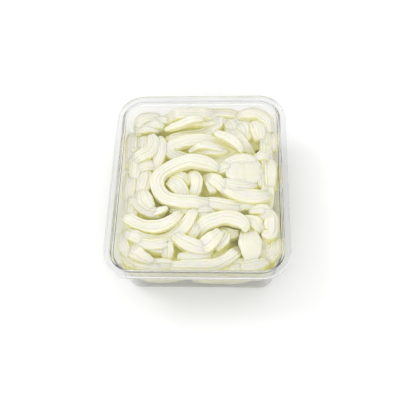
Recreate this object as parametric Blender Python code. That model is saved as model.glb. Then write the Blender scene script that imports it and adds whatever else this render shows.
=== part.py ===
"""A clear tub packed with sliced onion.

The tub is one thin moulded shell: a flat base, walls that lean outwards, a small stacking
ledge, and a rim with a raised bead and a skirt turned down at its outer edge. The onion is
a pile of loose strips, arcs and rings, each a separate piece. They are laid one at a time:
each keeps its place on a plan of the tub's opening, and sinks until it rests on the tub or
on the strips below it, bending over them as a fresh slice does.

Frame: metres, +Z up. The origin is the centre of the base's underside, X runs across the
tub and Y along it.
"""
import math

import bmesh
import bpy
import numpy as np

MM = 0.001

# Tub
TUB_WIDTH = 118 * MM           # over the rim, along X
TUB_LENGTH = 137 * MM          # over the rim, along Y
TUB_HEIGHT = 44 * MM           # base to the top of the rim's bead
RIM_CORNER_RADIUS = 19 * MM    # outer edge of the rim, seen from above
WALL = 0.8 * MM
FLANGE_WIDTH = 4.4 * MM        # from the rim's outer edge to the wall's outside
SKIRT_DEPTH = 2.4 * MM         # the rim's outer edge, turned down
EDGE_ROUND = 0.5 * MM
BEAD_WIDTH = 1.2 * MM          # raised line round the mouth
BEAD_HEIGHT = 0.4 * MM
LEDGE_DROP = 3.6 * MM          # rim to the stacking ledge
LEDGE_WIDTH = 0.8 * MM
WALL_DRAFT = 3.8 * MM          # how far each wall leans in between the ledge and the base
HEEL_RADIUS = 1.5 * MM         # between the walls and the base
CORNER_STEPS = 6

# Onion
WALL_SEAT_DROP = 10 * MM       # rim to the undersides of the strips wedged along the walls
STRIP_GAP = 0.45 * MM          # clearance a laid strip keeps from what it rests on
LAYER_WIDTH = 8.2 * MM         # one onion layer, seen from above
SLICE_HEIGHT = 5.8 * MM        # how thick the onion was sliced
BED_DEPTH = 20 * MM            # the two tiers of broad petals under the loose strips
BED_BOW = 2.0 * MM             # how far each of those petals is bent
BEND_UP = 0.030 / MM           # sharpest bend of a strip's line, hollow side up
STEEPEST = 0.55                # rise of a strip beside its run
STATION_STEP = 4.2 * MM        # length of a strip between two of its sections
FEWEST_STATIONS = 6
CUT_END_SHARE = 0.80           # a strip's section at its cut ends, beside its middle
UNEVENNESS = 0.09              # how much thinner the thinnest places of a strip are
WAVES_ACROSS = 2               # waves in a strip's width, end to end or once round
WAVES_UP = 3                   # the same for its height
CHAMFER_SHARE = 0.26           # corners of a section, beside its smaller side

# The plan on which the strips' places are drawn, in millimetres from the tub's centre. It
# stretches with the tub's mouth.
PLAN_WIDTH = 107.0
PLAN_LENGTH = 126.0

OVAL_POINTS = 12               # places that shape a whole ring
CURVE_POINTS = 16              # between two neighbouring places of a line
CHECKS_BETWEEN = 9             # between two neighbouring stations, for clearance
MAP_CELL = 0.5 * MM            # grid of the height map that the strips are laid on
SOLVE_STEPS = 400


def clear_scene():
    for old in list(bpy.data.objects):
        bpy.data.objects.remove(old, do_unlink=True)


def material(name, colour, roughness, alpha=1.0):
    made = bpy.data.materials.new(name)
    made.use_nodes = True
    shader = made.node_tree.nodes["Principled BSDF"]
    shader.inputs["Base Color"].default_value = (*colour, 1.0)
    shader.inputs["Roughness"].default_value = roughness
    shader.inputs["Metallic"].default_value = 0.0
    shader.inputs["Alpha"].default_value = alpha
    return made


def add_object(name, mesh_data, surface):
    mesh = bpy.data.meshes.new(name)
    mesh_data.to_mesh(mesh)
    mesh_data.free()
    mesh.shade_smooth()
    mesh.set_sharp_from_angle(angle=math.radians(50))
    mesh.materials.append(surface)
    made = bpy.data.objects.new(name, mesh)
    bpy.context.scene.collection.objects.link(made)
    return made


def loft(rings):
    """One closed body through rings of the same number of points, capped at both ends."""
    built = bmesh.new()
    loops = [[built.verts.new(point) for point in ring] for ring in rings]
    for lower, upper in zip(loops, loops[1:]):
        for here in range(len(lower)):
            after = (here + 1) % len(lower)
            built.faces.new((lower[here], lower[after], upper[after], upper[here]))
    built.faces.new(list(reversed(loops[0])))
    built.faces.new(loops[-1])
    bmesh.ops.recalc_face_normals(built, faces=built.faces)
    return built


def closed_loft(rings):
    """One closed body through rings whose last ring joins the first again."""
    built = bmesh.new()
    loops = [[built.verts.new(point) for point in ring] for ring in rings]
    for lower, upper in zip(loops, loops[1:] + loops[:1]):
        for here in range(len(lower)):
            after = (here + 1) % len(lower)
            built.faces.new((lower[here], lower[after], upper[after], upper[here]))
    bmesh.ops.recalc_face_normals(built, faces=built.faces)
    return built


# ---------------------------------------------------------------- tub

def tub_outline(inset, height):
    """The tub's rounded rectangle, moved in from the rim's outer edge."""
    half_width = TUB_WIDTH / 2 - inset
    half_length = TUB_LENGTH / 2 - inset
    radius = RIM_CORNER_RADIUS - inset
    points = []
    for corner, (side_x, side_y) in enumerate([(1, 1), (-1, 1), (-1, -1), (1, -1)]):
        for step in range(CORNER_STEPS + 1):
            angle = math.pi / 2 * (corner + step / CORNER_STEPS)
            x = side_x * (half_width - radius) + radius * math.cos(angle)
            y = side_y * (half_length - radius) + radius * math.sin(angle)
            points.append((x, y, height))
    return points


LEDGE_TOP = TUB_HEIGHT - LEDGE_DROP
WALL_TOP_INSET = FLANGE_WIDTH + LEDGE_WIDTH
BASE_INSET = WALL_TOP_INSET + WALL_DRAFT


def inside_inset(height):
    """How far the inside of the wall lies in from the rim's outer edge, at a height."""
    if height > LEDGE_TOP:
        return FLANGE_WIDTH + WALL
    low = WALL + HEEL_RADIUS
    share = (LEDGE_TOP - max(height, low)) / (LEDGE_TOP - low)
    inset = WALL_TOP_INSET + WALL + WALL_DRAFT * share
    if height < low:
        inset += low - height
    return inset


def make_tub():
    rim_flat = TUB_HEIGHT - BEAD_HEIGHT
    heel = HEEL_RADIUS * (1 - math.cos(math.radians(45)))
    mouth = FLANGE_WIDTH + WALL
    bead_outside = mouth - BEAD_WIDTH
    profile = [
        (BASE_INSET + HEEL_RADIUS, 0.0),
        (BASE_INSET + heel, heel),
        (BASE_INSET, HEEL_RADIUS),
        (WALL_TOP_INSET, LEDGE_TOP - WALL),
        (FLANGE_WIDTH, LEDGE_TOP),
        (FLANGE_WIDTH, rim_flat - WALL),
        (WALL, rim_flat - WALL),
        (WALL, rim_flat - SKIRT_DEPTH),
        (0.0, rim_flat - SKIRT_DEPTH),
        (0.0, rim_flat - EDGE_ROUND),
        (EDGE_ROUND, rim_flat),
        (bead_outside, rim_flat),
        (bead_outside + BEAD_HEIGHT, TUB_HEIGHT),
        (mouth - BEAD_HEIGHT, TUB_HEIGHT),
        (mouth, TUB_HEIGHT - BEAD_HEIGHT),
        (mouth, LEDGE_TOP + WALL),
        (WALL_TOP_INSET + WALL, LEDGE_TOP),
        (BASE_INSET + WALL, HEEL_RADIUS + WALL),
        (BASE_INSET + WALL + heel, WALL + heel),
        (BASE_INSET + WALL + HEEL_RADIUS, WALL),
    ]
    rings = [tub_outline(inset, height) for inset, height in profile]
    clear_plastic = material("clear_plastic", (0.90, 0.92, 0.92), 0.08, alpha=0.3)
    return add_object("tub", loft(rings), clear_plastic)


# ---------------------------------------------------------------- lines of strips on the plan

PLAN_SCALE = ((TUB_WIDTH - 2 * FLANGE_WIDTH - 2 * WALL) / PLAN_WIDTH,
              (TUB_LENGTH - 2 * FLANGE_WIDTH - 2 * WALL) / PLAN_LENGTH)


def on_tub(points):
    return [(x * PLAN_SCALE[0], y * PLAN_SCALE[1]) for x, y in points]


def through(*points):
    """A smooth open line through points on the plan."""
    return ("open", on_tub(points))


def oval(centre, half_long, half_short, turn=0.0):
    """A whole ring on the plan, its long way turned from X by some degrees."""
    points = []
    cosine = math.cos(math.radians(turn))
    sine = math.sin(math.radians(turn))
    for step in range(OVAL_POINTS):
        angle = 2 * math.pi * step / OVAL_POINTS
        along = half_long * math.cos(angle)
        across = half_short * math.sin(angle)
        points.append((centre[0] + along * cosine - across * sine,
                       centre[1] + along * sine + across * cosine))
    return ("closed", on_tub(points))


def smooth_line(kind, points):
    """Many points on a Catmull-Rom curve through a few."""
    knots = np.array(points, dtype=float)
    if kind == "closed":
        padded = np.vstack([knots[-1], knots, knots[0], knots[1]])
    else:
        padded = np.vstack([2 * knots[0] - knots[1], knots, 2 * knots[-1] - knots[-2]])
    line = []
    for first, start, end, last in zip(padded, padded[1:], padded[2:], padded[3:]):
        for t in np.linspace(0.0, 1.0, CURVE_POINTS, endpoint=False):
            line.append(0.5 * (2 * start + (end - first) * t
                               + (2 * first - 5 * start + 4 * end - last) * t ** 2
                               + (3 * start - first - 3 * end + last) * t ** 3))
    line.append(padded[-2])
    return np.array(line)


def press_inside(line, inset):
    """Move what lies too near the wall back in, square to the wall."""
    radius = max(RIM_CORNER_RADIUS - inset, 0.0)
    core = np.array([TUB_WIDTH / 2 - inset - radius, TUB_LENGTH / 2 - inset - radius])
    nearest = np.clip(line, -core, core)
    out = line - nearest
    distance = np.linalg.norm(out, axis=1)[:, None]
    return nearest + out * np.minimum(1.0, radius / np.maximum(distance, 1e-9))


def stations(kind, points, inset):
    """Evenly spaced places along a strip, and the sideways direction at each."""
    line = press_inside(smooth_line(kind, points), inset)
    lengths = np.concatenate([[0.0], np.cumsum(np.linalg.norm(np.diff(line, axis=0), axis=1))])
    count = max(FEWEST_STATIONS, round(lengths[-1] / STATION_STEP) + 1)
    wanted = np.linspace(0.0, lengths[-1], count)
    places = np.stack([np.interp(wanted, lengths, line[:, axis]) for axis in (0, 1)], axis=1)
    if kind == "closed":
        places = places[:-1]
        ways = np.roll(places, -1, axis=0) - np.roll(places, 1, axis=0)
    else:
        ways = np.gradient(places, axis=0)
    ways /= np.linalg.norm(ways, axis=1)[:, None]
    sideways = np.stack([-ways[:, 1], ways[:, 0]], axis=1)
    return places, sideways


# ---------------------------------------------------------------- laying

def section(width, height, lean):
    """A strip's eight-sided section: sideways and upwards offsets, leant by some degrees."""
    chamfer = CHAMFER_SHARE * min(width, height)
    half_width = width / 2
    half_height = height / 2
    corners = [(half_width, half_height - chamfer), (half_width - chamfer, half_height)]
    corners += [(-side, up) for side, up in reversed(corners)]
    corners += [(-side, -up) for side, up in corners]
    cosine = math.cos(math.radians(lean))
    sine = math.sin(math.radians(lean))
    return np.array([(side * cosine - up * sine, side * sine + up * cosine)
                     for side, up in corners])


def edge_heights(outline, offsets):
    """The lowest and highest point of a section at each sideways offset."""
    low = np.full(len(offsets), np.inf)
    high = np.full(len(offsets), -np.inf)
    for (side_a, up_a), (side_b, up_b) in zip(outline, np.roll(outline, -1, axis=0)):
        if abs(side_b - side_a) < 1e-9:
            continue
        share = (offsets - side_a) / (side_b - side_a)
        inside = (share >= -1e-6) & (share <= 1 + 1e-6)
        up = up_a + share * (up_b - up_a)
        low = np.where(inside, np.minimum(low, up), low)
        high = np.where(inside, np.maximum(high, up), high)
    return low, high


class HeightMap:
    """The height of what lies in the tub, over a grid seen from above."""

    def __init__(self):
        self.columns = int(TUB_WIDTH / MAP_CELL) + 1
        self.rows = int(TUB_LENGTH / MAP_CELL) + 1
        x = (np.arange(self.columns) - self.columns // 2) * MAP_CELL
        y = (np.arange(self.rows) - self.rows // 2) * MAP_CELL
        self.x, self.y = np.meshgrid(x, y, indexing="ij")
        self.top = np.full(self.x.shape, np.inf)
        for height in np.arange(TUB_HEIGHT, WALL, -MAP_CELL):
            self.top[self.inside_wall(inside_inset(height) + STRIP_GAP)] = height
        self.top[self.inside_wall(inside_inset(WALL) + STRIP_GAP)] = WALL
        self.laid = 0

    def inside_wall(self, inset):
        radius = max(RIM_CORNER_RADIUS - inset, 0.0)
        over_x = np.maximum(np.abs(self.x) - (TUB_WIDTH / 2 - inset - radius), 0.0)
        over_y = np.maximum(np.abs(self.y) - (TUB_LENGTH / 2 - inset - radius), 0.0)
        return np.hypot(over_x, over_y) <= radius

    def cells(self, places):
        column = np.rint(places[..., 0] / MAP_CELL).astype(int) + self.columns // 2
        row = np.rint(places[..., 1] / MAP_CELL).astype(int) + self.rows // 2
        return np.clip(column, 1, self.columns - 2), np.clip(row, 1, self.rows - 2)

    def highest_near(self, places):
        column, row = self.cells(places)
        best = self.top[column, row]
        for step_x in (-1, 0, 1):
            for step_y in (-1, 0, 1):
                best = np.maximum(best, self.top[column + step_x, row + step_y])
        return best

    def raise_to(self, places, heights):
        column, row = self.cells(places)
        np.maximum.at(self.top, (column, row), heights)


def spans(count, kind):
    """The pairs of neighbouring stations."""
    last = count if kind == "closed" else count - 1
    return [(here, (here + 1) % count) for here in range(last)]


def section_shares(count, kind, number):
    """How wide and how high the section is at each station, beside its full size.

    It wanders a little along every strip, each in its own way, and is smaller at cut ends.
    """
    turns = 2 * math.pi * np.arange(count) / len(spans(count, kind))
    across = 1 - UNEVENNESS * (0.5 + 0.5 * np.sin(WAVES_ACROSS * turns + 2.3 * number))
    upwards = 1 - UNEVENNESS * (0.5 + 0.5 * np.sin(WAVES_UP * turns + 3.9 * number))
    if kind == "open":
        for end in (0, -1):
            across[end] = CUT_END_SHARE
            upwards[end] = CUT_END_SHARE
    return across, upwards


def lift_between(heights, here, after, share, wanted):
    """Raise two stations until the line between them clears a height, the lower one first."""
    if heights[here] * (1 - share) + heights[after] * share >= wanted:
        return
    weights = {here: 1 - share, after: share}
    low, high = sorted((here, after), key=lambda station: heights[station])
    if weights[low] > 0:
        enough = (wanted - heights[high] * weights[high]) / weights[low]
        heights[low] = max(heights[low], min(wanted, enough))
    if heights[here] * (1 - share) + heights[after] * share < wanted - 1e-9:
        heights[high] = max(heights[high], wanted)


def settle(needed, pairs, count, step):
    """The lowest heights of a strip's stations that clear what is below it everywhere.

    needed holds, for each pair of stations, the least height at some shares of the way
    between them. Heights only rise, so the result is the lowest one that also keeps to the
    steepest slope and the sharpest bend.
    """
    heights = np.full(count, WALL)
    ways = np.linspace(0.0, 1.0, needed.shape[1])
    followers = zip(pairs, pairs[1:] + pairs[:1])
    neighbours = [(*pair, after[1]) for pair, after in followers if after[0] == pair[1]]
    for _ in range(SOLVE_STEPS):
        before = heights.copy()
        for (here, after), least in zip(pairs, needed):
            for share, wanted in zip(ways, least):
                lift_between(heights, here, after, share, wanted)
        for here, after in pairs + pairs[::-1]:
            heights[here] = max(heights[here], heights[after] - STEEPEST * step)
            heights[after] = max(heights[after], heights[here] - STEEPEST * step)
        for left, middle, right in neighbours:
            bend = heights[left] - 2 * heights[middle] + heights[right]
            if bend > BEND_UP * step ** 2:
                heights[middle] += (bend - BEND_UP * step ** 2) / 2
        if np.max(heights - before) < 1e-6:
            break
    return heights


def lay_strip(pile, row, level, surface):
    """Lay one strip on the pile and add its object. It lies at about the height level."""
    name, (kind, points), width, height, lean = row
    outline = section(width, height, lean)
    reach = outline[:, 0].max()
    inset = inside_inset(level) + STRIP_GAP + MAP_CELL + reach
    places, sideways = stations(kind, points, inset)
    count = len(places)
    pairs = spans(count, kind)
    pile.laid += 1
    across_shares, up_shares = section_shares(count, kind, pile.laid)
    offsets = np.arange(-reach, reach + MAP_CELL / 2, MAP_CELL / 2).clip(-reach, reach)
    low, high = edge_heights(outline, offsets)
    ways = np.linspace(0.0, 1.0, CHECKS_BETWEEN)
    spots = []
    for here, after in pairs:
        middle = places[here] + ways[:, None] * (places[after] - places[here])
        side_here = sideways[here] * across_shares[here]
        side_after = sideways[after] * across_shares[after]
        side = side_here + ways[:, None] * (side_after - side_here)
        spots.append(middle[:, None, :] + offsets[None, :, None] * side[:, None, :])
    spots = np.array(spots)
    needed = (pile.highest_near(spots) + STRIP_GAP - low).max(axis=2)
    step = np.linalg.norm(places[1] - places[0])
    heights = settle(needed, pairs, count, step)
    for index, (here, after) in enumerate(pairs):
        along = heights[here] + ways * (heights[after] - heights[here])
        pile.raise_to(spots[index], along[:, None] + high[None, :])
    rings = []
    for index in range(count):
        shaped = outline * (across_shares[index], up_shares[index])
        ring = [(places[index][0] + side * sideways[index][0],
                 places[index][1] + side * sideways[index][1],
                 heights[index] + up) for side, up in shaped]
        rings.append(ring)
    body = closed_loft(rings) if kind == "closed" else loft(rings)
    return add_object(name, body, surface)


# ---------------------------------------------------------------- the onion, piece by piece
# Each row: name, line on the plan in millimetres, width, height, lean in degrees.

W = LAYER_WIDTH
H = SLICE_HEIGHT
TIER = BED_DEPTH / 2 - STRIP_GAP

LOWER_BED = ["lower_petal_left", "lower_petal_centre", "lower_petal_right"]
UPPER_BED = ["upper_petal_near", "upper_petal_middle", "upper_petal_far"]

UNDER_STRIPS = [
    ("far_wall_strip", through((-46, 50), (-40, 58), (-18, 61), (10, 61), (36, 60)), 1.1 * W, H, -6),
    ("eye_floor_petal", through((-19, 37), (2, 37.5), (24, 36)), 2.5 * W, 0.8 * H, 0),
    ("right_under_petal", through((26, 8), (38, 8), (51, 7)), 2.1 * W, 0.8 * H, 0),
    ("right_under_strip", through((22, -9), (34, -12), (50, -12)), W, 0.8 * H, 0),
    ("ring_floor_right", through((0, 6), (9, 2), (16, -6)), 1.5 * W, 0.8 * H, 0),
    ("bundle_floor", through((-45, -22), (-30, -28), (-14, -25)), 1.8 * W, 0.8 * H, 0),
    ("near_floor_left", through((-36, -45), (-24, -46), (-13, -46)), 1.8 * W, 0.8 * H, 0),
    ("near_floor_right", through((5, -45), (16, -46), (28, -46)), 1.9 * W, 0.8 * H, 0),
    ("left_under_petal", through((-43, 48), (-42, 30), (-42, 8), (-43, -14)), 2.0 * W, 0.8 * H, 0),
    ("near_gap_strip", through((-5, -20), (-4, -30), (-7, -40)), 1.4 * W, 0.8 * H, 0),
    ("ring_floor_strip", through((-23, 6), (-14, 1), (-8, -8)), 1.6 * W, 0.8 * H, 0),
    ("corner_petal", through((-49, -34), (-47, -45), (-41, -54), (-32, -58)), 1.2 * W, H, -12),
    ("right_corner_arc", through((49, -40), (49, -49), (43, -56), (26, -58)), 1.2 * W, H, 6),
    ("far_petal", through((34, 54), (34, 44), (33, 34)), 1.9 * W, 0.9 * H, 0),
    ("middle_gap_strip", through((-29, 23), (-12, 22), (6, 17), (24, 17)), 1.1 * W, 0.8 * H, 0),
    ("left_wall_block", through((-50, 14), (-44, 15), (-40, 16)), 1.2 * W, 0.7 * H, 0),
    ("left_wall_slice", through((-49, 4), (-47.5, -5), (-47, -14)), 0.9 * W, H, 8),
    ("left_tangle_strip", through((-28, 40), (-29, 32), (-29, 26)), 1.1 * W, 0.8 * H, 0),
]

TOP_STRIPS = [
    ("corner_arc", through((24, 61), (33, 60), (42, 55.5), (48, 49), (51, 42)), 0.9 * W, H, 0),
    ("right_wall_tab_far", through((41, 35), (52, 35.5)), 0.7 * W, 0.7 * H, 0),
    ("right_wall_tab_near", through((41, 27), (52.5, 26)), 0.7 * W, 0.7 * H, 0),
    ("far_hairpin", through((-29, 53), (-18, 58), (-4, 60), (8, 58), (11, 52), (4, 45.5),
                            (-8, 42.5), (-27, 41.5)), 0.9 * W, H, 0),
    ("far_hairpin_core", through((-27, 47.5), (-15, 49), (-6, 50), (2, 51)), 0.6 * W, 0.9 * H, 0),
    ("left_tangle_band", through((-49, 45), (-40, 48), (-30, 47)), 0.9 * W, 0.7 * H, 0),
    ("left_tangle_curl", through((-46, 40), (-46, 33), (-50, 25)), 0.9 * W, 0.8 * H, 6),
    ("left_tangle_long", through((-36, 42), (-33, 34), (-36, 26), (-47, 19)), W, 0.9 * H, -6),
    ("left_bright_strip", through((-36.5, 14), (-37, 6), (-39, -2), (-39, -11)), 1.15 * W, 0.8 * H, 0),
    ("eye_ring", oval((1.5, 29.5), 23, 7, -1), 0.95 * W, H, 0),
    ("eye_filler", through((-9, 28), (4, 30.5), (19, 28)), 0.6 * W, 0.7 * H, 0),
    ("diagonal_outer", through((18.5, 54), (20, 47), (25, 39), (31, 32.5), (38, 27.5)), 0.85 * W, H, 4),
    ("diagonal_inner", through((9, 43), (15.5, 38.5), (23, 32.5), (29.5, 26)), 0.7 * W, 0.9 * H, 4),
    ("right_wall_knob", through((44, -9.5), (52, -9)), 0.65 * W, 0.7 * H, 0),
    ("right_arc_shadow", through((22, -23), (29, -20.5), (37, -20), (44, -22)), 0.7 * W, 0.7 * H, 0),
    ("right_outer_loop", through((40, 21.5), (46, 19), (50, 11), (50.5, 2), (47, -4)), 0.85 * W, H, 0),
    ("right_crescent", through((14, 9), (17, 2), (24, -3.5), (33, -5), (41, -1)), 1.2 * W, H, -8),
    ("right_bulb", through((31, 21), (31, 11), (32, 1)), 2.3 * W, H, 0),
    ("ring_right_strip", through((1, 10), (8, 6), (14, 1), (19, -6)), 0.9 * W, 0.8 * H, 8),
    ("ring_cross_strip", through((-8, 12.5), (-3, 7), (-2, 0), (-5, -6), (-11, -9.5)), 0.85 * W,
     0.9 * H, -6),
    ("central_loop", through((13, 12), (6, 15.5), (-6, 17), (-18, 15), (-26.5, 8.5), (-28.5, 0.5),
                             (-24, -7.5), (-14, -12), (-2, -13), (9, -12.5), (19, -14)), W, H, 0),
    ("near_stub", through((8, -17), (9.5, -26)), 0.8 * W, 0.7 * H, 0),
    ("right_long_arc", through((16, -21), (24, -15), (34, -13), (44, -15), (51.5, -21)),
     0.8 * W, H, 6),
    ("near_left_strip", through((-48, -34), (-44, -43), (-37, -50), (-27, -55)), 0.9 * W, 0.9 * H, 6),
    ("bundle_rim", through((-46, -15.5), (-38, -18.5), (-28, -19), (-20, -17)), 0.7 * W, 0.8 * H, 0),
    ("bundle_outer", through((-50.5, -29), (-45, -35), (-36, -38.5), (-25, -38.5), (-14, -34), (-6, -26),
                             (-1.5, -18)), 0.85 * W, 0.9 * H, 6),
    ("bundle_inner", through((-51, -20), (-45, -26), (-35, -30), (-24, -30), (-15, -25.5),
                             (-10.5, -19)), 0.85 * W, 0.9 * H, 6),
    ("square_end", through((-19, -41), (-19.5, -52)), 1.1 * W, H, 0),
    ("small_u_core", through((-10, -51), (0, -53), (10, -50), (17, -44), (20, -36)),
     0.65 * W, 0.8 * H, 0),
    ("large_u", through((-19, -58.5), (-8, -58.5), (2, -58), (12, -56), (22, -50), (28.5, -41)),
     0.85 * W, H, 6),
    ("omega_inner", through((5, -37), (11, -33), (17, -36), (17, -44)), 0.65 * W, 0.8 * H, 0),
    ("small_u", through((-10.5, -43.5), (-4, -45.5), (4, -44), (11, -39), (15, -33)), 1.15 * W, 0.9 * H, 0),
    ("wide_drop", through((31, -29), (33, -38), (34, -47), (33, -57)), 1.5 * W, 0.8 * H, 0),
    ("omega", through((-3, -38), (1, -31), (9, -26.5), (19, -24.5), (28, -28), (32, -34)), W, 0.9 * H, 4),
    ("folded_loop", through((37, -23), (44, -21.5), (50, -26), (50.5, -33), (46, -37), (41, -35.5)),
     0.95 * W, H, 0),
]


def bed_tier(names, level, along_x):
    """Broad petals side by side, which fill one tier of the bed from wall to wall."""
    inset = inside_inset(level) + STRIP_GAP + 2 * MAP_CELL
    half_across = (TUB_LENGTH if along_x else TUB_WIDTH) / 2 - inset - BED_BOW / 2
    half_along = (TUB_WIDTH if along_x else TUB_LENGTH) / 2 - inset
    radius = RIM_CORNER_RADIUS - inset
    pitch = 2 * half_across / len(names)
    rows = []
    for index, name in enumerate(names):
        centre = (index + 0.5) * pitch - half_across
        into_corner = max(abs(centre) + pitch / 2 + BED_BOW / 2 - (half_across - radius), 0.0)
        length = half_along - radius + math.sqrt(max(radius ** 2 - into_corner ** 2, 0.0))
        line = [(centre + BED_BOW * (0.5 - share ** 2), length * share)
                for share in (-1.0, -0.5, 0.0, 0.5, 1.0)]
        if along_x:
            line = [(along, across) for across, along in line]
        rows.append((name, ("open", line), pitch - 3 * STRIP_GAP - MAP_CELL, TIER, 0))
    return rows


def make_onion():
    pile = HeightMap()
    groups = [
        (bed_tier(LOWER_BED, WALL, False), WALL, (0.86, 0.86, 0.62)),
        (bed_tier(UPPER_BED, WALL + TIER, True), WALL + TIER, (0.88, 0.88, 0.66)),
        (UNDER_STRIPS, WALL + BED_DEPTH, (0.90, 0.90, 0.70)),
        (TOP_STRIPS, TUB_HEIGHT - WALL_SEAT_DROP, (0.95, 0.94, 0.84)),
    ]
    for rows, level, colour in groups:
        for row in rows:
            flesh = material("flesh_of_" + row[0], colour, 0.35)
            lay_strip(pile, row, level, flesh)


clear_scene()
make_tub()
make_onion()
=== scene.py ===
# %% [markdown]
# # A clear tub packed with sliced onion
#
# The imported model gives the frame: one clear tub and some sixty loose strips, arcs and rings
# of onion, each a plain closed solid. This lesson turns each solid into the thing itself. The
# strips get a fine surface with soft cut edges, lines between their layers and a moist, slightly
# see-through flesh. The tub gets a smooth moulded shape in clear plastic. Smaller strips fill
# the gaps between the solids and the space along the wall.
#
# The first cell loads the frame. Every later piece takes its place from it.

# %% Load the frame
import math
import random

import bmesh
import bpy
import numpy as np
from mathutils import Matrix, Vector, noise


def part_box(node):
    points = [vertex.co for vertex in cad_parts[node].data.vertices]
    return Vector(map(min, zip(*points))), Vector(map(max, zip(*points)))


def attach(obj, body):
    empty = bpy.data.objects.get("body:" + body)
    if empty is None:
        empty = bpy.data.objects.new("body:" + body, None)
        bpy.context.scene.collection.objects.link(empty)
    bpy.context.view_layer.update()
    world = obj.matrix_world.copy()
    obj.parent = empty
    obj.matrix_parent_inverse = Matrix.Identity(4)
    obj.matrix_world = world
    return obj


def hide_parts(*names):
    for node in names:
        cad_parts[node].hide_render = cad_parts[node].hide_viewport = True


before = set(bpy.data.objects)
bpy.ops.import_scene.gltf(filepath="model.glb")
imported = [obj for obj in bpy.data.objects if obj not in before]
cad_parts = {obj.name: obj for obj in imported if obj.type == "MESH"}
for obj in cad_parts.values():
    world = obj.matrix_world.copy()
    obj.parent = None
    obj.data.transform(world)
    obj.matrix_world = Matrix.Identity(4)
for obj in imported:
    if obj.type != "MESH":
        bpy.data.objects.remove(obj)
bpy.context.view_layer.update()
MM = 0.001
print("nodes in the frame:", len(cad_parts))

# %% [markdown]
# ## Camera, floor and light
#
# The tub is seen from above and a little from the right of its near side, close enough for
# the far side to look smaller. A camera is a place and three directions, so its matrix is
# built from the direction back towards the viewer, a sideways direction and a small roll.
#
# Clear plastic shows mostly what is round it. So the floor and the world are both near white,
# as on a product table. A large soft lamp on the left and one in front shape the wet flesh.

# %% Camera
TUB_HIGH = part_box("tub")[1]
RIM_HEIGHT = TUB_HIGH.z
VIEW_TARGET = Vector((1.3 * MM, -15.0 * MM, RIM_HEIGHT))
VIEW_DISTANCE = 390 * MM
VIEW_ELEVATION = math.radians(62.9)
VIEW_AZIMUTH = math.radians(7.8)
VIEW_ROLL = math.radians(-6.9)
LENS = 54.0


def add_camera():
    back = Vector((math.sin(VIEW_AZIMUTH) * math.cos(VIEW_ELEVATION),
                   -math.cos(VIEW_AZIMUTH) * math.cos(VIEW_ELEVATION),
                   math.sin(VIEW_ELEVATION)))
    level = Vector((math.cos(VIEW_AZIMUTH), math.sin(VIEW_AZIMUTH), 0.0))
    upright = back.cross(level)
    right = level * math.cos(VIEW_ROLL) + upright * math.sin(VIEW_ROLL)
    up = upright * math.cos(VIEW_ROLL) - level * math.sin(VIEW_ROLL)
    camera_data = bpy.data.cameras.new("camera")
    camera_data.lens = LENS
    camera_data.sensor_width = 36.0
    camera_data.clip_start = 0.01
    camera = bpy.data.objects.new("camera", camera_data)
    bpy.context.scene.collection.objects.link(camera)
    place = Matrix((right, up, back)).transposed().to_4x4()
    place.translation = VIEW_TARGET + back * VIEW_DISTANCE
    camera.matrix_world = place
    bpy.context.scene.camera = camera
    return camera


camera = add_camera()
print("camera at", [round(value / MM) for value in camera.matrix_world.translation], "mm")

# %% Floor, world and lamps
FLOOR_SIZE = 4.0
FLOOR_GAP = 0.2 * MM


def node_material(name):
    """A new material with its node tree, its nodes and its Principled shader."""
    made = bpy.data.materials.new(name)
    made.use_nodes = True
    tree = made.node_tree
    return made, tree, tree.nodes["Principled BSDF"]


def add_floor():
    half = FLOOR_SIZE / 2
    mesh = bpy.data.meshes.new("floor")
    mesh.from_pydata([(-half, -half, -FLOOR_GAP), (half, -half, -FLOOR_GAP),
                      (half, half, -FLOOR_GAP), (-half, half, -FLOOR_GAP)], [], [(0, 1, 2, 3)])
    floor = bpy.data.objects.new("floor", mesh)
    bpy.context.scene.collection.objects.link(floor)
    white, tree, shader = node_material("white_table")
    shader.inputs["Base Color"].default_value = (0.93, 0.93, 0.93, 1.0)
    shader.inputs["Roughness"].default_value = 0.9
    shader.inputs["Specular IOR Level"].default_value = 0.1
    mesh.materials.append(white)
    return floor


def add_lamp(name, place, size, power, aim=(0.0, 0.0, 0.0)):
    lamp_data = bpy.data.lights.new(name, "AREA")
    lamp_data.shape = "SQUARE"
    lamp_data.size = size
    lamp_data.energy = power
    lamp = bpy.data.objects.new(name, lamp_data)
    bpy.context.scene.collection.objects.link(lamp)
    lamp.location = place
    lamp.rotation_euler = (Vector(place) - Vector(aim)).to_track_quat("Z", "Y").to_euler()
    return lamp


def set_world(strength):
    world = bpy.data.worlds.new("studio")
    world.use_nodes = True
    background = world.node_tree.nodes["Background"]
    background.inputs["Color"].default_value = (1.0, 1.0, 1.0, 1.0)
    background.inputs["Strength"].default_value = strength
    bpy.context.scene.world = world


floor = add_floor()
set_world(1.02)
add_lamp("left_softbox", (-2.4, 0.9, 3.0), 1.2, 24.0)
add_lamp("front_softbox", (0.0, -2.4, 1.7), 1.8, 17.0)
bpy.context.scene.view_settings.view_transform = "Standard"

# %% [markdown]
# ## Reading the strips out of the frame
#
# A plain strip in the frame is a chain of eight-cornered sections. Its mesh comes as loose
# triangles, so the sections have to be found again: all corners of one section lie in one
# upright plane, square to the strip. One section is found that way, and the rest follow as
# rings of neighbours. This keeps every new strip exactly where its solid is.

# %% Find the sections of a strip
CORNERS = 8
PLANE_SLACK = 2e-6


def welded(node):
    mesh_data = bmesh.new()
    mesh_data.from_mesh(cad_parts[node].data)
    bmesh.ops.remove_doubles(mesh_data, verts=mesh_data.verts, dist=1e-6)
    return mesh_data


def neighbours(vert):
    return [edge.other_vert(vert) for edge in vert.link_edges]


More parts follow.
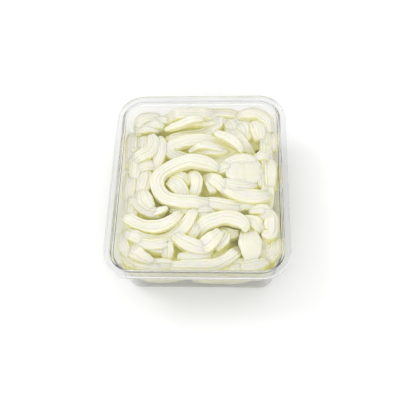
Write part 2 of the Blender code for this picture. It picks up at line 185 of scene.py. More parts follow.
def section_through(vert, first):
    """The corners joined to a corner in the upright plane through a neighbour."""
    across = first.co - vert.co
    across.z = 0.0
    if across.length < 1e-5:
        return None
    normal = Vector((-across.y, across.x, 0.0)).normalized()
    found = {vert}
    queue = [vert]
    while queue:
        for other in neighbours(queue.pop()):
            if other not in found and abs((other.co - vert.co).dot(normal)) < PLANE_SLACK:
                found.add(other)
                queue.append(other)
    return (found, normal) if len(found) == CORNERS else None


def first_section(mesh_data):
    for vert in mesh_data.verts:
        for other in neighbours(vert):
            found = section_through(vert, other)
            if found:
                return found
    raise ValueError("no section found")


def rings_from(start, blocked=()):
    """Rings of neighbours, from one section outwards."""
    rings = [set(start)]
    seen = set(start) | set(blocked)
    while True:
        ring = {other for vert in rings[-1] for other in neighbours(vert) if other not in seen}
        if not ring:
            return rings
        rings.append(ring)
        seen |= ring


def middle_of(ring):
    return sum((vert.co for vert in ring), Vector()) / len(ring)


def one_side(ring, centre, normal):
    return {vert for vert in ring if (vert.co - centre).dot(normal) > 0}


def ordered_sections(node):
    """The corners of every section in order along the strip, and whether the strip closes."""
    mesh_data = welded(node)
    closed = len(mesh_data.verts) - len(mesh_data.edges) + len(mesh_data.faces) == 0
    start, normal = first_section(mesh_data)
    centre = middle_of(start)
    rings = rings_from(start)
    if closed:
        after = one_side(rings[1], centre, normal)
        rings = [start] + rings_from(after, start)
    else:
        end = rings[-1]
        if len(end) > CORNERS:
            end = one_side(end, centre, normal)
        rings = rings_from(end)
    wrong = [len(ring) for ring in rings if len(ring) != CORNERS]
    if wrong:
        raise ValueError(f"{node}: sections of {wrong} corners")
    sections = [[vert.co.copy() for vert in ring] for ring in rings]
    mesh_data.free()
    return sections, closed


def measure_strip(node):
    """A strip's centre line, sideways directions, widths and heights, and its lean."""
    sections, closed = ordered_sections(node)
    centres = np.array([np.mean([list(corner) for corner in section], axis=0)
                        for section in sections])
    if closed:
        ways = np.roll(centres, -1, axis=0) - np.roll(centres, 1, axis=0)
    else:
        ways = np.gradient(centres, axis=0)
    sides = np.stack([-ways[:, 1], ways[:, 0]], axis=1)
    sides /= np.linalg.norm(sides, axis=1)[:, None]
    widths = []
    heights = []
    leans = []
    for centre, side, section in zip(centres, sides, sections):
        flat = np.array([[np.dot(np.array(corner[:2]) - centre[:2], side), corner[2] - centre[2]]
                         for corner in section])
        flat = flat[np.argsort(np.arctan2(flat[:, 1], flat[:, 0]))]
        edges = np.roll(flat, -1, axis=0) - flat
        longest = edges[np.argmax(np.linalg.norm(edges, axis=1))]
        lean = math.atan2(longest[1], longest[0]) % (math.pi / 2)
        if lean > math.pi / 4:
            lean -= math.pi / 2
        leans.append(lean)
        turned = flat @ np.array([[math.cos(lean), -math.sin(lean)],
                                  [math.sin(lean), math.cos(lean)]])
        widths.append(np.ptp(turned[:, 0]))
        heights.append(np.ptp(turned[:, 1]))
    return {"centres": centres, "sides": sides, "widths": np.array(widths),
            "heights": np.array(heights), "lean": float(np.median(leans)), "closed": closed}


STRIPS = sorted(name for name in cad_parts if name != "tub")
measured = {name: measure_strip(name) for name in STRIPS}
for name in STRIPS[:4]:
    strip = measured[name]
    print(name, "width", round(strip["widths"].max() / MM, 1), "height",
          round(strip["heights"].max() / MM, 1), "lean", round(math.degrees(strip["lean"])))

# %% [markdown]
# ## A fine strip
#
# A slice of an onion layer is a band with two flat cut faces, above and below, and two smooth
# skin faces. Its edges are soft, its thickness wanders a little, and lines on the cut faces
# part one layer from the next. The band is lofted: a rounded section is carried along a smooth
# curve through the centres that were measured. The ends of a long strip taper and sink between
# its neighbours. Each corner also stores where it lies along and across the strip, and how much
# it belongs to a cut face or a line, so that the flesh material can follow the strip.

# %% Loft a strip
AROUND = 72
FINE_STEP = 0.8 * MM
CORNER_POWER = 7.0
CUT_ROUND = 1.6 * MM       # rounding of the cut ends
PETAL_ROUND = 0.48         # the same for a short broad petal, beside its length
PETAL_POWER = 2.3
TAPER = 0.5                # how much smaller the cut ends are
TAPER_LENGTH = 15 * MM
BULB_GROWTH = 1.3          # a short petal bulges out past its solid
DIP = 3.2 * MM             # how far the ends of a loose strip sink between the others
DIP_LENGTH = 16 * MM
DIP_SHORT = 20 * MM        # a shorter strip stays level
DIP_LONG = 42 * MM         # a longer strip has the full dip
PUFF_WIDTH = 1.24          # soft strips press on each other and close the solids' gaps
PUFF_HEIGHT = 1.12
WANDER_WIDTH = 0.09        # share by which a strip's width wanders
WANDER_HEIGHT = 0.06
WANDER_LEAN = math.radians(7)
WIDTH_WAVE = 11 * MM       # how far along the strip each of them takes to change
HEIGHT_WAVE = 14 * MM
LEAN_WAVE = 22 * MM
LINE_WAVE = 16 * MM
PETAL_RATIO = 2.3          # a wider piece lies on its skin face
SHORT_PETAL = 1.8          # a shorter petal, beside its width, is round in plan
GROOVE = 0.6 * MM          # depth of the line between two layers
PETAL_LINES = 0.45         # how faint the lines are on a skin face
LINE_WANDER = 0.10         # how far a line strays, beside half the strip's width
NARROW_LINES = (0.1,)      # where the lines lie across a narrow strip
WIDE_LINES = (-0.55, -0.02, 0.5)
LINE_WIDTH = 0.07          # beside half the strip's width
STEP_HEIGHT = 0.8 * MM     # one layer stands this much above the next, at most
NARROW = 5.5 * MM          # a narrower strip shows one line
LUMP_HEIGHT = 0.25 * MM
LUMP_SIZE = 4 * MM


def catmull(values, closed, samples):
    """Values on a smooth curve through the given ones, at sample places counted in stations."""
    count = len(values)
    if closed:
        padded = np.concatenate([values[-1:], values, values[:2]])
    else:
        padded = np.concatenate([2 * values[:1] - values[1:2], values,
                                 2 * values[-1:] - values[-2:-1]])
    spans = count if closed else count - 1
    base = np.minimum(samples.astype(int), spans - 1)
    t = samples - base
    if values.ndim > 1:
        t = t[:, None]
    a, b, c, d = (padded[base + offset] for offset in range(4))
    return 0.5 * (2 * b + (c - a) * t + (2 * a - 5 * b + 4 * c - d) * t ** 2
                  + (3 * b - a - 3 * c + d) * t ** 3)


def wander(places, size, seed):
    """Smooth noise between -1 and 1 at places along a line."""
    return np.array([noise.noise(Vector((x / size, y / size, seed * 7.31)))
                     for x, y in zip(*places)])


def end_samples(strip, length, rounding):
    """Places along an open strip, closer together at its rounded cut ends."""
    stations = len(strip["centres"]) - 1
    steps = max(6, int(rounding / (0.3 * MM)))
    near_end = (1 - np.cos(np.linspace(0, math.pi / 2, steps, endpoint=False))) * rounding
    count = max(8, int((length - 2 * rounding) / FINE_STEP))
    inner = np.linspace(rounding, length - rounding, count)
    places = np.concatenate([near_end, inner, length - near_end[::-1]])
    return places / length * stations, places


def section_template(width, height, power):
    """A rounded section's points between -1 and 1, evenly spaced round its edge."""
    turn = np.linspace(0, 2 * math.pi, 4001)
    across = np.sign(np.cos(turn)) * np.abs(np.cos(turn)) ** (2 / power)
    up = np.sign(np.sin(turn)) * np.abs(np.sin(turn)) ** (2 / power)
    steps = np.hypot(np.diff(across) * width, np.diff(up) * height)
    edge = np.concatenate([[0.0], np.cumsum(steps)])
    wanted = (np.arange(AROUND) + 0.5) / AROUND * edge[-1]
    return np.interp(wanted, edge, across), np.interp(wanted, edge, up)


def layer_lines(across, up, places, seed, width):
    """Where the cut faces show lines between layers, and how each layer steps up or down."""
    lines = np.zeros((len(places), len(across)))
    steps = np.zeros_like(lines)
    on_face = np.clip((np.abs(up) - 0.55) / 0.25, 0, 1)
    homes = NARROW_LINES if width < NARROW else WIDE_LINES
    for line, home in enumerate(homes):
        chance = math.sin(seed * 12.9898 + line * 4.1) * 0.5 + 0.5
        home += 0.25 * (chance - 0.5)
        at = home + LINE_WANDER * wander([places, np.zeros(len(places))], LINE_WAVE,
                                         seed + 3 * line)
        away = (across[None, :] - at[:, None]) / LINE_WIDTH
        lines = np.maximum(lines, np.exp(-away ** 2) * (0.25 + 0.75 * chance))
        rise = STEP_HEIGHT * (chance - 0.5) * 2
        steps += rise * (1 + np.tanh(away * 1.2)) / 2
    return lines * on_face, steps * on_face * np.sign(up)


def loft_strip(name, strip, seed, dip=0.0):
    """A fine mesh for a strip, with its places along and round it stored on its corners."""
    closed = strip["closed"]
    count = len(strip["centres"])
    stations = count if closed else count - 1
    loop = np.concatenate([strip["centres"], strip["centres"][:1]]) if closed else strip["centres"]
    length = np.linalg.norm(np.diff(loop, axis=0), axis=1).sum()
    full_width = np.median(strip["widths"])
    petal = full_width > PETAL_RATIO * np.median(strip["heights"])
    short_petal = petal and length < SHORT_PETAL * full_width
    growth = BULB_GROWTH if short_petal else 1.0
    if closed:
        places = np.linspace(0, length, int(length / FINE_STEP), endpoint=False)
        samples = places / length * stations
        turn = places / length * 2 * math.pi
        wander_at = [length / (2 * math.pi) * np.cos(turn), length / (2 * math.pi) * np.sin(turn)]
        fullness = np.ones(len(places))
        taper = np.ones(len(places))
        rounding = 0.0
    else:
        rounding = PETAL_ROUND * length if short_petal else CUT_ROUND
        samples, places = end_samples(strip, length, rounding)
        wander_at = [places, np.zeros(len(places))]
        from_end = np.minimum(places, length - places)
        fullness = np.sqrt(1 - np.clip(1 - from_end / rounding, 0, 1) ** 2)
        taper = 1 - TAPER * np.clip(1 - from_end / TAPER_LENGTH, 0, 1) ** 2
    centres = catmull(strip["centres"], closed, samples)
    centres += (growth - 1) * (centres - centres.mean(axis=0))
    if not closed and not petal:
        dip *= float(np.clip((length - DIP_SHORT) / (DIP_LONG - DIP_SHORT), 0, 1))
        centres[:, 2] -= dip * np.clip(1 - from_end / min(DIP_LENGTH, length / 2), 0, 1) ** 2
    sides = catmull(strip["sides"], closed, samples)
    sides /= np.linalg.norm(sides, axis=1)[:, None]
    widths = catmull(strip["widths"], closed, samples) * PUFF_WIDTH * growth * taper
    heights = catmull(strip["heights"], closed, samples) * PUFF_HEIGHT * taper
    widths *= 1 + WANDER_WIDTH * wander(wander_at, WIDTH_WAVE, seed)
    heights *= 1 + WANDER_HEIGHT * wander(wander_at, HEIGHT_WAVE, seed + 0.4)
    if short_petal:
        widths *= np.maximum(fullness, 0.1)
        heights *= 0.2 + 0.8 * fullness
    else:
        widths -= 2 * rounding * (1 - fullness)
        heights -= 2 * rounding * (1 - fullness)
    leans = strip["lean"] + WANDER_LEAN * wander(wander_at, LEAN_WAVE, seed + 0.8)
    power = PETAL_POWER if petal else CORNER_POWER
    across_share, up_share = section_template(full_width, np.median(strip["heights"]), power)
    lines, steps = layer_lines(across_share, up_share, places, seed, full_width)
    if petal:
        lines *= PETAL_LINES
        steps *= 0.0
    rings = []
    for index in range(len(places)):
        across = across_share * widths[index] / 2
        up = up_share * (heights[index] / 2 - GROOVE * lines[index]) + steps[index]
        cosine = math.cos(leans[index])
        sine = math.sin(leans[index])
        sideways = across * cosine - up * sine
        ring = np.empty((AROUND, 3))
        ring[:, :2] = centres[index][:2] + sideways[:, None] * sides[index]
        ring[:, 2] = centres[index][2] + across * sine + up * cosine
        rings.append(ring)
    rings = np.array(rings)
    normals = surface_normals(rings, closed)
    rings += normals * lumps(rings, seed)[:, :, None]
    cut_share = np.clip((np.abs(up_share) - 0.6) / 0.3, 0, 1)
    cut_share *= np.clip((1.1 - np.abs(across_share)) / 0.6, 0.0, 1)
    values = {
        "along": np.repeat(places, AROUND),
        "across": np.tile(across_share * full_width / 2, len(places)),
        "cut_face": np.tile(1 - 0.4 * cut_share if petal else cut_share, len(places)),
        "layer_line": lines.ravel(),
        "piece": np.full(rings.shape[0] * AROUND, (seed * 0.618) % 1.0),
    }
    return strip_object(name, rings, closed, values)


def surface_normals(rings, closed):
    round_way = np.roll(rings, -1, axis=1) - np.roll(rings, 1, axis=1)
    if closed:
        long_way = np.roll(rings, -1, axis=0) - np.roll(rings, 1, axis=0)
    else:
        long_way = np.gradient(rings, axis=0)
    normals = np.cross(round_way, long_way)
    lengths = np.linalg.norm(normals, axis=2)
    return normals / np.maximum(lengths, 1e-12)[:, :, None]


def lumps(rings, seed):
    """How far the surface swells or sinks at each corner."""
    flat = rings.reshape(-1, 3)
    shift = Vector((seed * 3.1, seed * 1.7, seed * 5.3))
    values = [LUMP_HEIGHT * noise.noise(Vector(corner) / LUMP_SIZE + shift) for corner in flat]
    return np.array(values).reshape(rings.shape[:2])


def strip_object(name, rings, closed, values):
    """One closed mesh through the rings, with its named values stored on its corners."""
    count = len(rings)
    verts = rings.reshape(-1, 3)
    faces = []
    for ring in range(count if closed else count - 1):
        here = ring * AROUND
        after = ((ring + 1) % count) * AROUND
        for corner in range(AROUND):
            side = (corner + 1) % AROUND
            faces.append((here + corner, after + corner, after + side, here + side))
    if not closed:
        faces.append(tuple(range(AROUND)))
        faces.append(tuple(range(len(verts) - 1, len(verts) - AROUND - 1, -1)))
        values["cut_face"][:4 * AROUND] = 1.0
        values["cut_face"][-4 * AROUND:] = 1.0
    mesh = bpy.data.meshes.new(name + "_flesh")
    mesh.from_pydata(verts.tolist(), [], faces)
    for attribute, numbers in values.items():
        stored = mesh.attributes.new(attribute, "FLOAT", "POINT")
        stored.data.foreach_set("value", numbers.astype(np.float32))
    mesh.shade_smooth()
    made = bpy.data.objects.new(name + "_flesh", mesh)
    bpy.context.scene.collection.objects.link(made)
    return made


# %% [markdown]
# ## Moist onion flesh
#
# Fresh onion is pale and lets light in a few millimetres, so its edges glow and its shadows
# fill with yellow-green. That yellow-green in the crevices is painted: painted shade in the
# colour, and a faint painted glow. Cut faces are creamy white. Skin faces are a little greener.
# Fine fibres run along each strip, and a thin film of juice makes it shine.

# %% Flesh material
FIBRE_SCALE = 1500.0
FIBRE_STRETCH = 0.12       # the fibres are about eight times as long as they are wide
PATCH_SCALE = 90.0
CREVICE_DEPTH = 14 * MM
LINE_COLOUR = (0.70, 0.68, 0.38)
PAINTED_GLOW_STRENGTH = 0.11       # painted glow: emission in the crevices, for light that comes through the flesh


def group_socket(group, name, kind, way):
    return group.interface.new_socket(name=name, in_out=way, socket_type=kind)


def fibre_group():
    """Fine fibres along a strip: a value for its colour and a height for its bump."""
    group = bpy.data.node_groups.new("onion_fibres", "ShaderNodeTree")
    group_socket(group, "Fibre Scale", "NodeSocketFloat", "INPUT")
    group_socket(group, "Value", "NodeSocketFloat", "OUTPUT")
    nodes = group.nodes
    links = group.links
    inputs = nodes.new("NodeGroupInput")
    outputs = nodes.new("NodeGroupOutput")
    along = nodes.new("ShaderNodeAttribute")
    along.attribute_name = "along"
    across = nodes.new("ShaderNodeAttribute")
    across.attribute_name = "across"
    piece = nodes.new("ShaderNodeAttribute")
    piece.attribute_name = "piece"
    stretch = nodes.new("ShaderNodeMath")
    stretch.operation = "MULTIPLY"
    stretch.inputs[1].default_value = FIBRE_STRETCH
    links.new(along.outputs["Fac"], stretch.inputs[0])
    place = nodes.new("ShaderNodeCombineXYZ")
    links.new(stretch.outputs[0], place.inputs["X"])
    links.new(across.outputs["Fac"], place.inputs["Y"])
    links.new(piece.outputs["Fac"], place.inputs["Z"])
    texture = nodes.new("ShaderNodeTexNoise")
    texture.inputs["Detail"].default_value = 4.0
    texture.inputs["Roughness"].default_value = 0.6
    links.new(inputs.outputs["Fibre Scale"], texture.inputs["Scale"])
    links.new(place.outputs[0], texture.inputs["Vector"])
    links.new(texture.outputs["Fac"], outputs.inputs["Value"])
    return group


FIBRES = fibre_group()


def float_attribute(tree, name):
    node = tree.nodes.new("ShaderNodeAttribute")
    node.attribute_name = name
    return node.outputs["Fac"]


def map_range(tree, value, low, high, to_low=0.0, to_high=1.0):
    node = tree.nodes.new("ShaderNodeMapRange")
    node.inputs["From Min"].default_value = low
    node.inputs["From Max"].default_value = high
    node.inputs["To Min"].default_value = to_low
    node.inputs["To Max"].default_value = to_high
    tree.links.new(value, node.inputs["Value"])
    return node.outputs["Result"]


def mix_colour(tree, factor, first, second):
    node = tree.nodes.new("ShaderNodeMix")
    node.data_type = "RGBA"
    tree.links.new(factor, node.inputs["Factor"])
    for socket, colour in (("A", first), ("B", second)):
        if isinstance(colour, tuple):
            node.inputs[socket].default_value = (*colour, 1.0)
        else:
            tree.links.new(colour, node.inputs[socket])
    return node.outputs["Result"]


def flesh_material(name, cut_colour, skin_colour, painted_shade_colour):
    made, tree, shader = node_material(name)
    face = mix_colour(tree, float_attribute(tree, "cut_face"), skin_colour, cut_colour)
    fibres = tree.nodes.new("ShaderNodeGroup")
    fibres.node_tree = FIBRES
    fibres.inputs["Fibre Scale"].default_value = FIBRE_SCALE
    streaks = map_range(tree, fibres.outputs["Value"], 0.45, 0.75, 0.0, 0.7)
    patches = tree.nodes.new("ShaderNodeTexNoise")
    patches.inputs["Scale"].default_value = PATCH_SCALE
    patches.inputs["Detail"].default_value = 2.0
    patch = map_range(tree, patches.outputs["Fac"], 0.45, 0.65, 0.0, 0.65)
    patched = mix_colour(tree, patch, face, skin_colour)
    streaked = mix_colour(tree, streaks, patched, skin_colour)
    # Painted shade: the crevices that ambient occlusion finds take the yellow-green shade colour,
    # standing in for shade and light bounced between the strips.
    occlusion = tree.nodes.new("ShaderNodeAmbientOcclusion")
    occlusion.inputs["Distance"].default_value = CREVICE_DEPTH
    occlusion.samples = 8
    painted_crevice_shade = map_range(tree, occlusion.outputs["AO"], 0.05, 0.62, 1.0, 0.0)
    line = map_range(tree, float_attribute(tree, "layer_line"), 0.1, 1.0, 0.0, 0.65)
    lined = mix_colour(tree, line, streaked, LINE_COLOUR)
    coloured = mix_colour(tree, painted_crevice_shade, lined, painted_shade_colour)
    tree.links.new(coloured, shader.inputs["Base Color"])
    # Painted glow: the crevices emit a little of the painted shade colour, though the flesh is no
    # lamp.
    glow = mix_colour(tree, painted_crevice_shade, (0.0, 0.0, 0.0), painted_shade_colour)
    tree.links.new(glow, shader.inputs["Emission Color"])
    shader.inputs["Emission Strength"].default_value = PAINTED_GLOW_STRENGTH
    shader.inputs["Roughness"].default_value = 0.35
    shader.inputs["Subsurface Weight"].default_value = 0.7
    shader.inputs["Subsurface Radius"].default_value = (1.0, 0.9, 0.5)
    shader.inputs["Subsurface Scale"].default_value = 0.005
    shader.inputs["Coat Weight"].default_value = 0.2
    shader.inputs["Coat Roughness"].default_value = 0.12
    bump = tree.nodes.new("ShaderNodeBump")
    bump.inputs["Strength"].default_value = 0.35
    bump.inputs["Distance"].default_value = 0.0004
    tree.links.new(fibres.outputs["Value"], bump.inputs["Height"])
    tree.links.new(bump.outputs["Normal"], shader.inputs["Normal"])
    return made


# The third colour of each flesh is its painted crevice shade.
TOP_FLESH = flesh_material("cream_flesh", (0.80, 0.78, 0.74), (0.74, 0.72, 0.54),
                           (0.84, 0.82, 0.42))
# The bed strips and the wall courses get a copy of the flesh with yellower cut faces: painted shade
# for lying deep in the tub.
BED_FLESH = flesh_material("deep_flesh_painted_shade", (0.80, 0.785, 0.68), (0.78, 0.765, 0.62),
                           (0.86, 0.84, 0.47))


# %% Lay the fine strips
def is_bed(name):
    return name.startswith(("lower_", "upper_"))


def lay(piece, flesh):
    piece.data.materials.append(flesh)
    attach(piece, "root")


for number, name in enumerate(STRIPS):
    piece = loft_strip(name, measured[name], number + 1, DIP)
    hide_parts(name)
    if is_bed(name):
        lay(piece, BED_FLESH)
    else:
        lay(piece, TOP_FLESH)
print("fine strips:", len(STRIPS))

# %% [markdown]
# ## Smaller strips tucked in between
#
# A real tub holds many more scraps than the frame's solids. Short soft strips are tucked
# under the loose ones and along the walls. Each row is a name, the height of the strip's
# middle, its width, and places along it, in millimetres in the tub's frame.

# %% Tuck in the smaller strips
TUCKED_HEIGHT = 8.5
TUCKED_RISE = 0.6          # lifts them all
TUCKED = [
    ("left_wall_near", 31, 8, [(-50, 12), (-48, 4), (-48, -5), (-46, -14)]),
    ("left_wall_far", 31, 8, [(-49, 45), (-50, 36), (-49, 26), (-50, 16)]),
    ("left_tangle_middle", 30, 8, [(-42, 42), (-40, 33), (-43, 24)]),
    ("left_tangle_inner", 31, 7, [(-31, 42), (-28, 33), (-29, 22), (-32, 12)]),
    ("left_tangle_cross", 31, 9, [(-45, 12), (-38, 17), (-31, 16)]),
    ("far_left_corner", 32, 8, [(-47, 48), (-42, 55), (-30, 58)]),
    ("far_left_cross", 31, 8, [(-44, 51), (-34, 52), (-27, 50)]),
    ("far_wall_scrap", 31, 6, [(-28, 59), (-10, 60), (14, 60), (30, 59)]),
    ("far_right_scrap", 29, 9, [(16, 58), (22, 50), (22, 42)]),
    ("far_right_petal", 30, 10, [(25, 55), (31, 48), (31, 38)]),
    ("right_corner_scrap", 31, 8, [(42, 50), (45, 42), (44, 33)]),
    ("right_wall_far", 32, 6, [(50, 44), (51, 36), (50, 28)]),
    ("right_wall_cross", 32, 7, [(36, 21), (43, 24), (50, 22)]),
    ("right_wall_middle", 30, 6, [(51.5, 18), (52, 8), (51, -2)]),
    ("bulb_side", 32, 7, [(38, 15), (42, 8), (42, 0)]),
    ("crescent_outer", 33, 8, [(15, 6), (20, -3), (30, -8), (42, -8), (49, -3)]),
    ("loop_floor", 31, 10, [(-22, 6), (-15, 1), (-9, -8)]),
    ("loop_floor_far", 30, 7, [(-20, 11), (-12, 8), (-6, 3)]),
    ("centre_right_scrap", 31, 8, [(4, 8), (8, 3), (9, -4)]),
    ("centre_far_scrap", 31, 8, [(10, 12), (18, 15), (27, 17)]),
    ("centre_near_scrap", 31, 7, [(-20, -16), (-8, -17.5), (4, -18), (14, -17)]),
    ("near_gap_petal", 31, 9, [(-3, -20), (-1, -28), (-5, -37)]),
    ("near_gap_scrap", 33, 7, [(4, -19), (3, -28)]),
    ("near_right_scrap", 33, 8, [(28, -24), (37, -27), (41, -34)]),
    ("loop_inner", 34, 7, [(42, -26), (44, -31), (45, -35)]),
    ("near_right_petal", 31, 9, [(40, -40), (44, -47), (42, -55)]),
    ("near_right_corner", 33, 7, [(50, -38), (50, -46), (45, -53)]),
    ("near_right_edge", 33, 7, [(27, -57), (36, -57), (45, -53)]),
    ("near_left_corner", 33, 7, [(-49, -34), (-48, -44), (-43, -51)]),
    ("near_left_edge", 32, 7, [(-41, -54), (-33, -57), (-22, -58)]),
    ("near_left_cross", 32, 8, [(-37, -43), (-28, -44), (-21, -46)]),
    ("near_edge_scrap", 32, 6, [(-13, -50), (0, -51.5), (9, -49)]),
    ("omega_scrap", 33, 5, [(12, -46), (18, -40), (20, -34)]),
    ("right_corner_fill", 33, 11, [(36, 52), (40, 45), (41, 37)]),
    ("left_gap_fill", 33, 10, [(-38, -3), (-36, -11), (-31, -17)]),
    ("bulb_far_scrap", 32, 7, [(14, 15), (24, 20), (34, 20), (41, 14)]),
    ("bulb_near_scrap", 33, 7, [(13, 5), (20, 1), (30, -1), (39, 3)]),
    ("near_middle_scrap", 33.5, 8, [(-16, -35), (-9, -41), (0, -45), (10, -47)]),
    ("middle_floor_scrap", 31, 8, [(2, -9), (12, -13), (22, -15), (32, -14)]),
    ("right_floor_scrap", 32, 7, [(33, -18), (42, -17), (49, -20)]),
    ("left_floor_scrap", 31.5, 8, [(-46, -2), (-42, -11), (-34, -18), (-24, -20)]),
    ("eye_floor_scrap", 32, 7, [(-6, 30), (6, 28), (18, 29)]),
    ("omega_inner_scrap", 30, 7, [(14, -30), (20, -34), (27, -33)]),
    ("bundle_under", 33, 6, [(-44, -37), (-34, -43), (-24, -43), (-14, -39)]),
]


def strip_along(knots, width, height):
    """The same description of a strip as one measured on the frame, from a few places."""
    count = max(4, int(np.linalg.norm(knots[-1] - knots[0]) / (4 * MM)) + 2)
    centres = catmull(knots, False, np.linspace(0, len(knots) - 1, count))
    ways = np.gradient(centres[:, :2], axis=0)
    ways /= np.linalg.norm(ways, axis=1)[:, None]
    return {
        "centres": centres,
        "sides": np.stack([-ways[:, 1], ways[:, 0]], axis=1),
        "widths": np.full(count, width),
        "heights": np.full(count, height),
        "lean": 0.0,
        "closed": False,
    }


for number, (name, height, width, places) in enumerate(TUCKED):
    knots = np.array([(x, y, height + TUCKED_RISE) for x, y in places], dtype=float) * MM
    strip = strip_along(knots, width * MM, TUCKED_HEIGHT * MM)
    piece = loft_strip("tucked_" + name, strip, len(STRIPS) + number + 1, DIP)
    lay(piece, TOP_FLESH)
print("tucked strips:", len(TUCKED))

# %% [markdown]
# ## The clear tub
#
# A thermoformed tub is one sheet. Its section runs from the base up the leaning wall, out
# over a small stacking ledge, up to the mouth with its raised bead, out along the flange and
# down the skirt. Every bend is rounded. The section is swept round a rounded rectangle, the
# inside and the outside of the sheet as one closed skin, so light bends as it does in a real
# wall. The sheet's colour carries painted shade: it greys where one looks along the sheet, and
# more at the rim, to draw the dark lines that bent light shows in clear plastic.

# %% Smooth tub
WALL = 0.8 * MM
FLANGE = 4.4 * MM
SKIRT = 2.4 * MM
BEAD_WIDTH = 1.2 * MM
BEAD_HEIGHT = 0.4 * MM
LEDGE_DROP = 3.6 * MM
LEDGE = 0.8 * MM
DRAFT = 3.8 * MM
HEEL = 1.5 * MM
RIM_RADIUS = 19 * MM
CORNER_STEPS = 16
BEND_STEPS = 4
HOLD = 0.12 * MM


def tub_section():
    """The sheet's outline as (inset from the rim's edge, height, bend radius)."""
    top = TUB_HIGH.z
    flat = top - BEAD_HEIGHT
    ledge = top - LEDGE_DROP
    mouth = FLANGE + WALL
    wall_top = FLANGE + LEDGE
    base = wall_top + DRAFT
    return [
        (base, 0.0, HEEL),
        (wall_top, ledge - WALL, 0.3 * MM),
        (FLANGE, ledge, 0.3 * MM),
        (FLANGE, flat - WALL, 0.3 * MM),
        (WALL, flat - WALL, 0.3 * MM),
        (WALL, flat - SKIRT, 0.1 * MM),
        (0.0, flat - SKIRT, 0.1 * MM),
        (0.0, flat, 0.7 * MM),
        (mouth - BEAD_WIDTH, flat, 0.2 * MM),
        (mouth - BEAD_WIDTH + BEAD_HEIGHT, top, 0.3 * MM),
        (mouth, top, 0.5 * MM),
        (mouth, ledge + WALL, 0.4 * MM),
        (wall_top + WALL, ledge, 0.3 * MM),
        (base + WALL, WALL, HEEL),
    ]


def rounded_section(outline):
    """The outline with its corners rounded, and held straight between them."""
    points = [np.array([outline[0][0] + 2 * HEEL, 0.0])]
    padded = [(outline[0][0] + 9 * MM, 0.0, 0.0)] + outline + [(outline[-1][0] + 9 * MM, WALL, 0.0)]
    for before, here, after in zip(padded, padded[1:], padded[2:]):
        corner = np.array(here[:2])
        back = np.array(before[:2]) - corner
        ahead = np.array(after[:2]) - corner
        back_length = np.linalg.norm(back)
        ahead_length = np.linalg.norm(ahead)
        reach = min(here[2], 0.42 * back_length, 0.42 * ahead_length)
        hold = min(HOLD, 0.05 * min(back_length, ahead_length))
        points.append(corner + back / back_length * (reach + hold))
        for step in range(BEND_STEPS + 1):
            t = step / BEND_STEPS
            points.append(corner + (1 - t) ** 2 * reach * back / back_length
                          + t ** 2 * reach * ahead / ahead_length)
        points.append(corner + ahead / ahead_length * (reach + hold))
    points.append(np.array([outline[-1][0] + 2 * HEEL, WALL]))
    return points


def tub_ring(inset, height, least_radius=1 * MM):
    half_x = TUB_HIGH.x - inset
    half_y = TUB_HIGH.y - inset
    radius = max(RIM_RADIUS - inset, least_radius)
    ring = []
    for corner, (side_x, side_y) in enumerate([(1, 1), (-1, 1), (-1, -1), (1, -1)]):
        centre = (side_x * (half_x - radius), side_y * (half_y - radius))
        for step in range(-1, CORNER_STEPS + 2):
            turn = math.pi / 2 * (corner + min(max(step, 0), CORNER_STEPS) / CORNER_STEPS)
            past = 3 * MM * (-1 if step < 0 else 1 if step > CORNER_STEPS else 0)
            x = centre[0] + radius * math.cos(turn) - past * math.sin(turn)
            y = centre[1] + radius * math.sin(turn) + past * math.cos(turn)
            ring.append((x, y, height))
    return ring


def make_tub():
    rings = [tub_ring(*point) for point in rounded_section(tub_section())]
    around = len(rings[0])
    verts = [corner for ring in rings for corner in ring]
    faces = []
    for ring in range(len(rings) - 1):
        for corner in range(around):
            side = (corner + 1) % around
            faces.append((ring * around + corner, ring * around + side,
                          (ring + 1) * around + side, (ring + 1) * around + corner))
    faces.append(tuple(reversed(range(around))))
    faces.append(tuple(range(len(verts) - around, len(verts))))
    mesh = bpy.data.meshes.new("clear_tub")
    mesh.from_pydata(verts, [], faces)
    tidy = bmesh.new()
    tidy.from_mesh(mesh)
    bmesh.ops.recalc_face_normals(tidy, faces=tidy.faces)
    tidy.to_mesh(mesh)
    tidy.free()
    mesh.shade_smooth()
    made = bpy.data.objects.new("clear_tub", mesh)
    bpy.context.scene.collection.objects.link(made)
    return made


def clear_plastic():
    made, tree, shader = node_material("clear_plastic")
    place = tree.nodes.new("ShaderNodeNewGeometry")
    split = tree.nodes.new("ShaderNodeSeparateXYZ")
    tree.links.new(place.outputs["Position"], split.inputs[0])
    # Painted shade: the colour greys towards the rim and where the view grazes the sheet, drawing
    # the dark lines of bent light.
    rim = map_range(tree, split.outputs["Z"], RIM_HEIGHT - 6 * MM, RIM_HEIGHT - 3 * MM)
    edge = tree.nodes.new("ShaderNodeLayerWeight")
    edge.inputs["Blend"].default_value = 0.3
    grazing_painted_shade = map_range(tree, edge.outputs["Facing"], 0.3, 0.95)
    rim_painted_shade = mix_colour(tree, grazing_painted_shade, (0.89, 0.895, 0.90), (0.68, 0.68, 0.70))
    wall_painted_shade = mix_colour(tree, grazing_painted_shade, (0.98, 0.98, 0.975), (0.90, 0.90, 0.89))
    grey = mix_colour(tree, rim, wall_painted_shade, rim_painted_shade)
    tree.links.new(grey, shader.inputs["Base Color"])
    shader.inputs["Roughness"].default_value = 0.03
    shader.inputs["IOR"].default_value = 1.5
    shader.inputs["Transmission Weight"].default_value = 1.0
    return made


clear_tub = make_tub()
clear_tub.data.materials.append(clear_plastic())
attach(clear_tub, "root")
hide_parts("tub")
print("tub faces:", len(clear_tub.data.polygons))

# %% [markdown]
# ## Courses along the wall
#
# Through the clear wall one sees onion right down to the base. So strips lie along the wall in
# courses, one above the other, each cut to its own length, a little tilted, and more or less
# close to the wall.

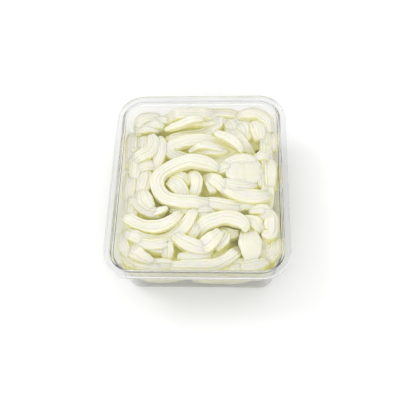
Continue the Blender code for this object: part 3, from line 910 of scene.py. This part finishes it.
# %% Lay courses of strips along the wall
COURSES = [6.2 * MM, 12.6 * MM, 19.0 * MM, 25.4 * MM, 31.2 * MM]
COURSE_WIDTH = 8.0 * MM
COURSE_THICK = 7.0 * MM
COURSE_CLEARANCE = 0.9 * MM    # from the wall, beyond half the strip's puffed width
COURSE_BEND = 8.0 * MM         # no strip bends tighter at a corner
COURSE_LENGTHS = (20 * MM, 44 * MM)
COURSE_GAPS = (-1.0 * MM, 1.5 * MM)
COURSE_STEP = 5.0 * MM
COURSE_TILT = 1.6 * MM
COURSE_LEAST = 12 * MM


def wall_inset(height):
    """How far the wall's inner face lies in from the rim's edge at a height."""
    share = height / (TUB_HIGH.z - LEDGE_DROP)
    return FLANGE + LEDGE + WALL + DRAFT * (1 - share)


def course_strips(height, draw):
    """Strips that follow each other round the wall at a height."""
    inset = wall_inset(height) + COURSE_WIDTH * PUFF_WIDTH / 2 + COURSE_CLEARANCE
    ring = np.array(tub_ring(inset, height, COURSE_BEND))
    ring = np.concatenate([ring, ring[:1]])
    walked = np.concatenate([[0.0], np.cumsum(np.linalg.norm(np.diff(ring, axis=0), axis=1))])
    start = draw.uniform(*COURSE_LENGTHS)
    end = start + walked[-1]
    strips = []
    while end - start > COURSE_LEAST:
        length = min(draw.uniform(*COURSE_LENGTHS), end - start)
        count = max(3, int(length / COURSE_STEP) + 1)
        at = np.linspace(start, start + length, count) % walked[-1]
        knots = np.stack([np.interp(at, walked, ring[:, axis]) for axis in range(3)], axis=1)
        knots[:, :2] *= draw.uniform(0.97, 1.0)
        knots[:, 2] += draw.uniform(-1, 1) * COURSE_TILT * np.linspace(-1, 1, count)
        knots[:, 2] = np.maximum(knots[:, 2], COURSES[0])
        width = COURSE_WIDTH * draw.uniform(0.8, 1.0)
        strips.append(strip_along(knots, width, COURSE_THICK * draw.uniform(0.9, 1.05)))
        start += length + draw.uniform(*COURSE_GAPS)
    return strips


draw = random.Random(11)
seed = len(STRIPS) + len(TUCKED)
laid = 0
for level, height in enumerate(COURSES):
    for number, strip in enumerate(course_strips(height, draw)):
        seed += 1
        piece = loft_strip(f"course_{level + 1}_{number + 1}", strip, seed)
        lay(piece, BED_FLESH)
        laid += 1
print("course strips:", laid)
